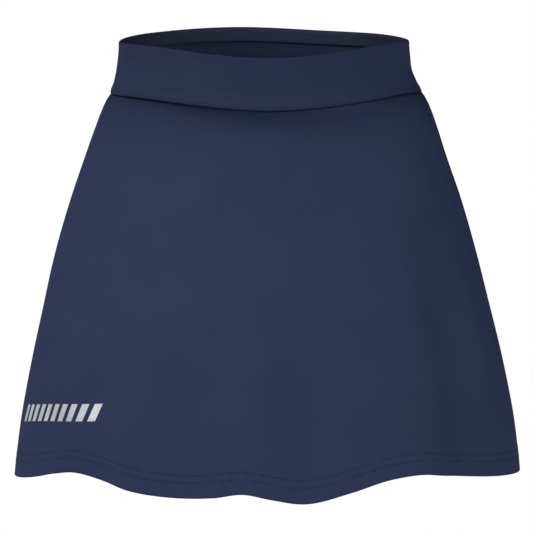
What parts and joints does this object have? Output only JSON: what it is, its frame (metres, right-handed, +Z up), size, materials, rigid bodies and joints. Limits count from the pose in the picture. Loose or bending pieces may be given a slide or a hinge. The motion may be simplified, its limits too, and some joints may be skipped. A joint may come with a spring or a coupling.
{
  "type": "field hockey skirt",
  "caption": "Pull-on A-line sports skirt in heavy jersey with a wide doubled waistband, soft flutes and a turned-up hem, filled out as worn and hollow.",
  "frame": {"origin": "the middle of the waist, half way up the waistband, where the wearer's waist holds the skirt", "axes": "+X to the viewer's right across the front, +Y to the back, +Z up out of the waist"},
  "size_m": [0.4409, 0.311, 0.3926],
  "materials": {
    "jersey": "matt heavy double-knit jersey in navy",
    "elastic": "matt flat ribbed elastic in navy"
  },
  "bodies": {
    "root": {"skirt_front": "jersey", "skirt_back": "jersey", "waistband_front": "jersey", "waistband_back": "jersey", "waist_tape": "elastic"}
  },
  "joints": []
}
